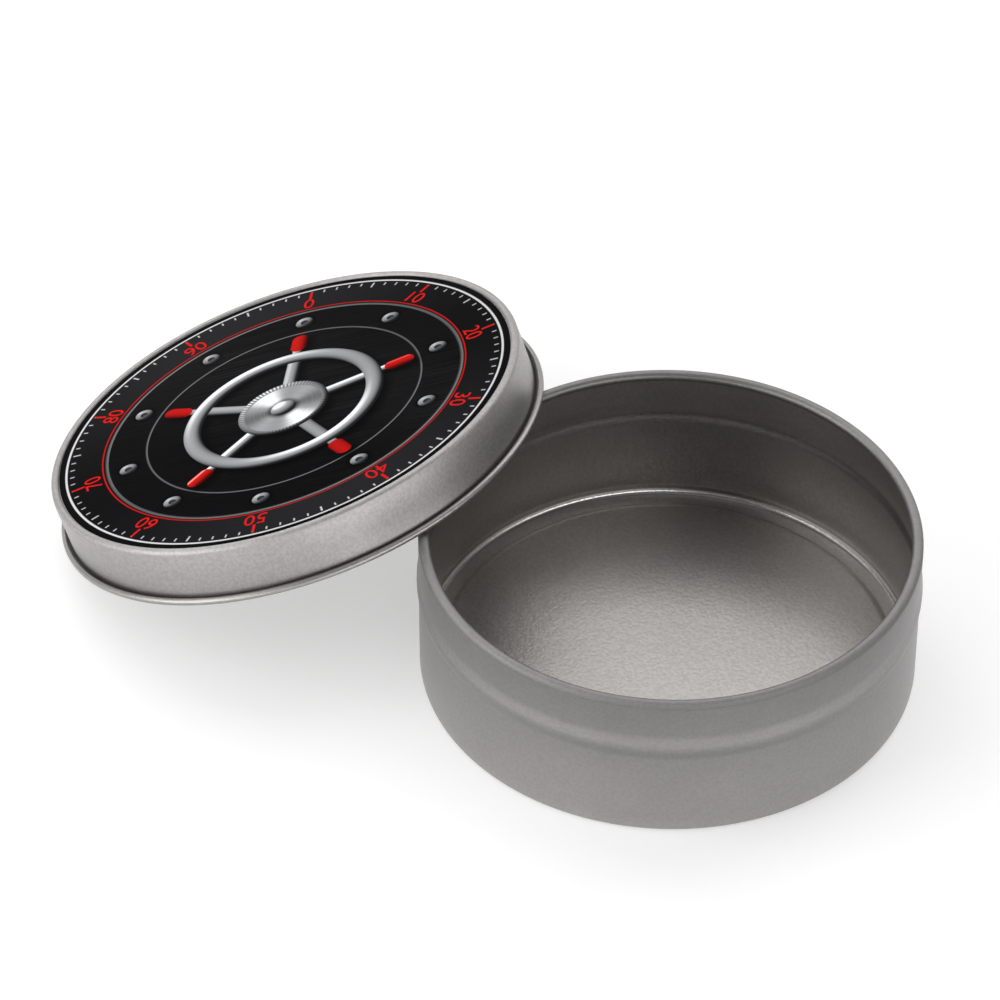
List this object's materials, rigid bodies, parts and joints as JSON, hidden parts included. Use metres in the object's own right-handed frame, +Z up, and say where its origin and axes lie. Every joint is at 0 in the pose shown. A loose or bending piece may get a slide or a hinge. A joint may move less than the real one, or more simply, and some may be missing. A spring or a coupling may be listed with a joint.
{
  "type": "round slip-lid tin",
  "caption": "Shallow round tinplate box with a slip-on lid that is off and leans on the rim; the lid's sunk top carries a printed safe dial.",
  "frame": {"origin": "centre of the standing ring under the cup, on the table", "axes": "+Z up along the cup's axis; the lid leans on the cup's -X side, and the XZ plane cuts both in half"},
  "size_m": [0.157, 0.088, 0.0401],
  "materials": {
    "tinplate_cup": "satin matt tinplate with a fine grain",
    "tinplate_lid": "satin matt tinplate with a fine grain",
    "printed_label": "smooth printed film, silk gloss"
  },
  "bodies": {
    "cup": {"base_cup": "tinplate_cup"},
    "lid": {"lid_cap": "tinplate_lid", "lid_label": "printed_label"}
  },
  "joints": [
    {"name": "lid_lift", "type": "slide", "parent": "cup", "child": "lid", "axis": [0, 0, 1], "range_m": [0, 0.06]}
  ]
}
